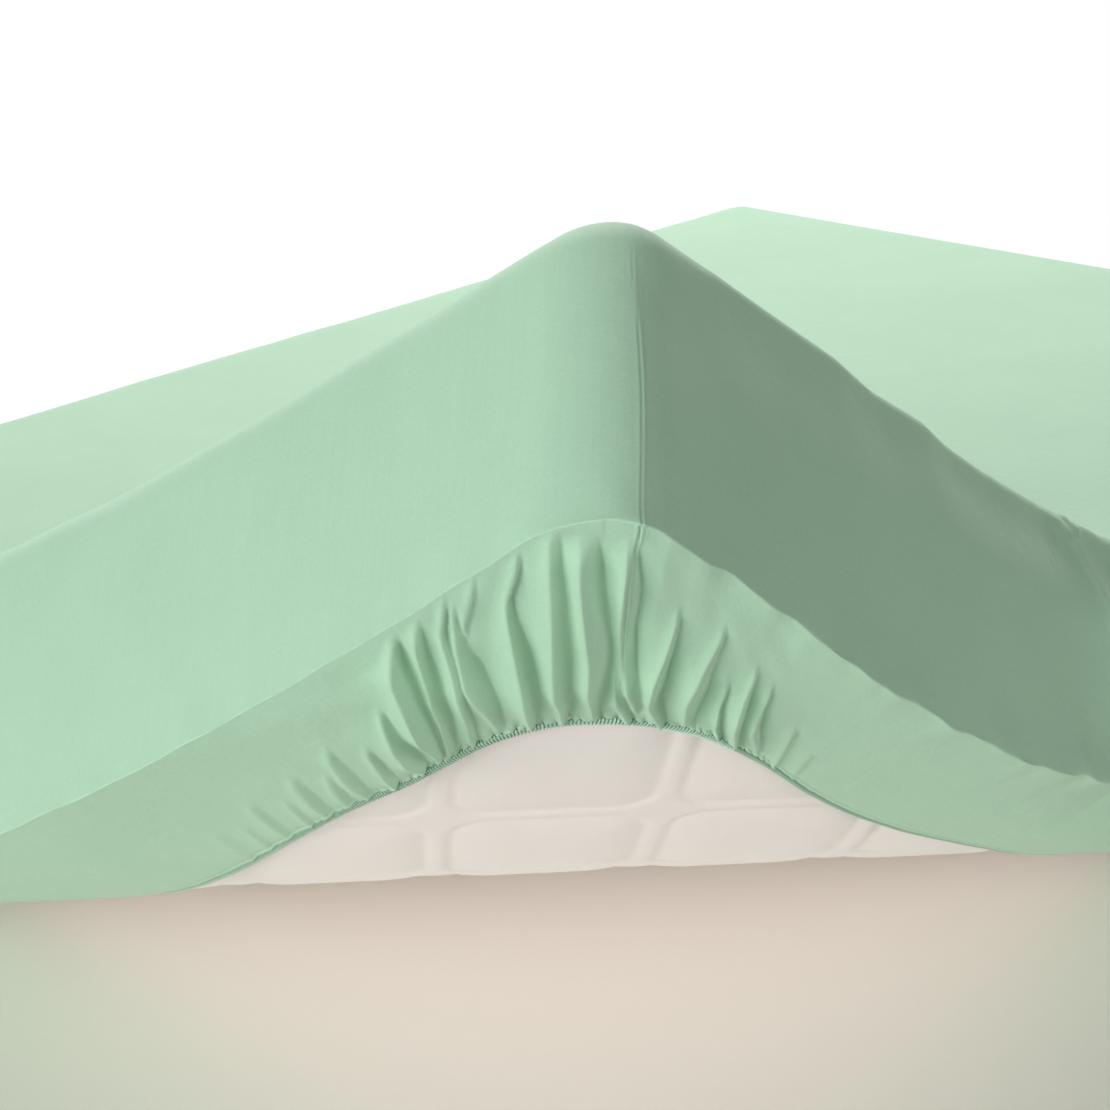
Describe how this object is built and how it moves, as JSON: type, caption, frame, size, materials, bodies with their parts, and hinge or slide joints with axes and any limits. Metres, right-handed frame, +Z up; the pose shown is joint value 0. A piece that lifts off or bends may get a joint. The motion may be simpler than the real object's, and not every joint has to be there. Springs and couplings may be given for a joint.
{
  "type": "fitted sheet on mattress",
  "caption": "Elastic-hemmed fitted sheet stretched over a plain mattress whose near corner is bent up, showing the gathered band turned under it.",
  "frame": {"origin": "on the floor, under the middle of the bounding box", "axes": "+Z up; +Y along the long side, away from the lifted corner; the lifted corner points to +X and -Y"},
  "size_m": [1.456, 2.0702, 0.7243],
  "materials": {
    "sheet_cloth": "matt, fine plain weave",
    "hem_elastic": "matt, overlocked thread over elastic",
    "mattress_cover": "matt, quilted knit"
  },
  "bodies": {
    "root": {"sheet": "sheet_cloth", "elastic_edge": "hem_elastic", "mattress": "mattress_cover"}
  },
  "joints": []
}
